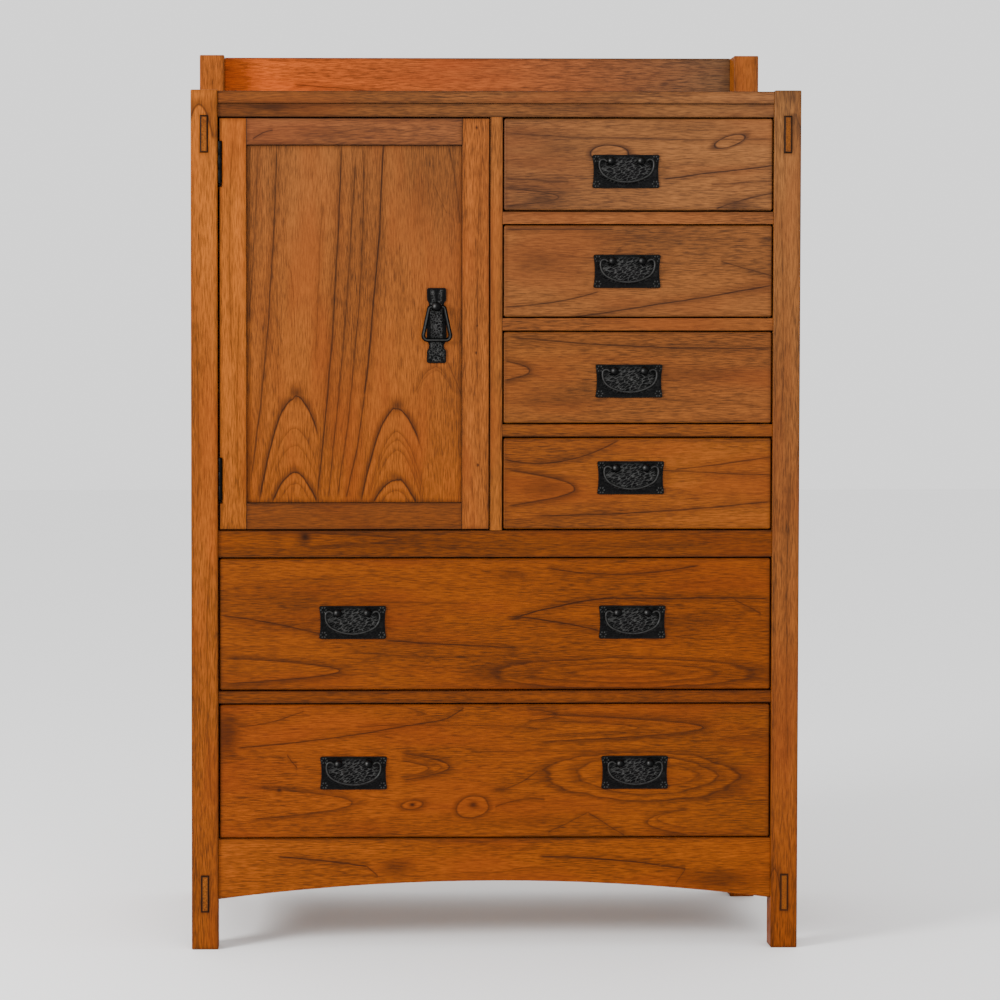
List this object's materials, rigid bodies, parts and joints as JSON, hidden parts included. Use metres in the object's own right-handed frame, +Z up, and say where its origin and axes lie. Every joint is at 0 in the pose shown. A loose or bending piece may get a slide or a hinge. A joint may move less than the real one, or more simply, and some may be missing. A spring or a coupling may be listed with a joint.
{
  "type": "door chest",
  "caption": "Wooden door chest with a framed door over shelves beside small drawers, wide drawers below, square posts, an arched rail and a low gallery.",
  "frame": {"origin": "on the floor, under the middle of the bounding box", "axes": "+X to the right seen from the front, +Y to the back, +Z up; the door and drawers face -Y"},
  "size_m": [1.092, 0.4834, 1.654],
  "materials": {
    "oak_case": "stained and waxed oak",
    "oak_boards": "stained and waxed oak",
    "door_oak": "stained and waxed oak",
    "drawer_oak": "stained and waxed oak",
    "inner_wood": "sanded and sealed",
    "black_iron": "hammered, blackened and waxed",
    "strike_steel": "brushed"
  },
  "bodies": {
    "case": {"post_front_left": "oak_case", "post_front_right": "oak_case", "post_back_left": "oak_case", "post_back_right": "oak_case", "top_board": "oak_boards", "top_rail": "oak_case", "mid_rail": "oak_case", "lower_rail": "oak_case", "arched_rail": "oak_case", "mullion": "oak_case", "drawer_rails": "oak_case", "gallery_board": "oak_boards", "side_rails_left": "oak_case", "side_rails_right": "oak_case", "side_panel_left": "oak_boards", "side_panel_right": "oak_boards", "back_panel": "inner_wood", "back_rails": "inner_wood", "partition": "inner_wood", "cupboard_floor": "inner_wood", "shelves": "inner_wood", "shelf_cleats": "inner_wood", "drawer_runners": "inner_wood", "hinge_leaves_case": "black_iron", "door_catch": "inner_wood"},
    "door": {"door_stile_hinge": "door_oak", "door_stile_latch": "door_oak", "door_rails": "door_oak", "door_panel": "door_oak", "hinge_leaves_door": "black_iron", "door_strike": "strike_steel", "door_pull_plate": "black_iron"},
    "door_drop": {"door_pull_drop": "black_iron"},
    "small_drawer_1": {"small_drawer_1_front": "drawer_oak", "small_drawer_1_box": "inner_wood", "small_drawer_1_pull_plate": "black_iron"},
    "small_bail_1": {"small_drawer_1_bail": "black_iron"},
    "small_drawer_2": {"small_drawer_2_front": "drawer_oak", "small_drawer_2_box": "inner_wood", "small_drawer_2_pull_plate": "black_iron"},
    "small_bail_2": {"small_drawer_2_bail": "black_iron"},
    "small_drawer_3": {"small_drawer_3_front": "drawer_oak", "small_drawer_3_box": "inner_wood", "small_drawer_3_pull_plate": "black_iron"},
    "small_bail_3": {"small_drawer_3_bail": "black_iron"},
    "small_drawer_4": {"small_drawer_4_front": "drawer_oak", "small_drawer_4_box": "inner_wood", "small_drawer_4_pull_plate": "black_iron"},
    "small_bail_4": {"small_drawer_4_bail": "black_iron"},
    "wide_drawer_1": {"wide_drawer_1_front": "drawer_oak", "wide_drawer_1_box": "inner_wood", "wide_drawer_1_pull_plates": "black_iron"},
    "wide_bail_1_left": {"wide_drawer_1_bail_left": "black_iron"},
    "wide_bail_1_right": {"wide_drawer_1_bail_right": "black_iron"},
    "wide_drawer_2": {"wide_drawer_2_front": "drawer_oak", "wide_drawer_2_box": "inner_wood", "wide_drawer_2_pull_plates": "black_iron"},
    "wide_bail_2_left": {"wide_drawer_2_bail_left": "black_iron"},
    "wide_bail_2_right": {"wide_drawer_2_bail_right": "black_iron"}
  },
  "joints": [
    {"name": "door_hinge", "type": "hinge", "parent": "case", "child": "door", "pos_m": [-0.494, -0.22332, 1.125], "axis": [0, 0, -1], "range_deg": [0, 110]},
    {"name": "door_drop_swing", "type": "hinge", "parent": "door", "child": "door_drop", "pos_m": [-0.1062, -0.22832, 1.1563], "axis": [-1, 0, 0], "range_deg": [0, 85]},
    {"name": "small_drawer_1_slide", "type": "slide", "parent": "case", "child": "small_drawer_1", "axis": [0, -1, 0], "range_m": [0, 0.32]},
    {"name": "small_drawer_1_bail_swing", "type": "hinge", "parent": "small_drawer_1", "child": "small_bail_1", "pos_m": [0.2321, -0.23492, 1.41595], "axis": [-1, 0, 0], "range_deg": [0, 85]},
    {"name": "small_drawer_2_slide", "type": "slide", "parent": "case", "child": "small_drawer_2", "axis": [0, -1, 0], "range_m": [0, 0.32]},
    {"name": "small_drawer_2_bail_swing", "type": "hinge", "parent": "small_drawer_2", "child": "small_bail_2", "pos_m": [0.2347, -0.23492, 1.23755], "axis": [-1, 0, 0], "range_deg": [0, 85]},
    {"name": "small_drawer_3_slide", "type": "slide", "parent": "case", "child": "small_drawer_3", "axis": [0, -1, 0], "range_m": [0, 0.32]},
    {"name": "small_drawer_3_bail_swing", "type": "hinge", "parent": "small_drawer_3", "child": "small_bail_3", "pos_m": [0.2389, -0.23492, 1.04105], "axis": [-1, 0, 0], "range_deg": [0, 85]},
    {"name": "small_drawer_4_slide", "type": "slide", "parent": "case", "child": "small_drawer_4", "axis": [0, -1, 0], "range_m": [0, 0.32]},
    {"name": "small_drawer_4_bail_swing", "type": "hinge", "parent": "small_drawer_4", "child": "small_bail_4", "pos_m": [0.2425, -0.23492, 0.86755], "axis": [-1, 0, 0], "range_deg": [0, 85]},
    {"name": "wide_drawer_1_slide", "type": "slide", "parent": "case", "child": "wide_drawer_1", "axis": [0, -1, 0], "range_m": [0, 0.32]},
    {"name": "wide_drawer_1_bail_left_swing", "type": "hinge", "parent": "wide_drawer_1", "child": "wide_bail_1_left", "pos_m": [-0.2566, -0.23492, 0.6078], "axis": [-1, 0, 0], "range_deg": [0, 85]},
    {"name": "wide_drawer_1_bail_right_swing", "type": "hinge", "parent": "wide_drawer_1", "child": "wide_bail_1_right", "pos_m": [0.2463, -0.23492, 0.6078], "axis": [-1, 0, 0], "range_deg": [0, 85]},
    {"name": "wide_drawer_2_slide", "type": "slide", "parent": "case", "child": "wide_drawer_2", "axis": [0, -1, 0], "range_m": [0, 0.32]},
    {"name": "wide_drawer_2_bail_left_swing", "type": "hinge", "parent": "wide_drawer_2", "child": "wide_bail_2_left", "pos_m": [-0.2549, -0.23492, 0.3362], "axis": [-1, 0, 0], "range_deg": [0, 85]},
    {"name": "wide_drawer_2_bail_right_swing", "type": "hinge", "parent": "wide_drawer_2", "child": "wide_bail_2_right", "pos_m": [0.2517, -0.23492, 0.3362], "axis": [-1, 0, 0], "range_deg": [0, 85]}
  ]
}
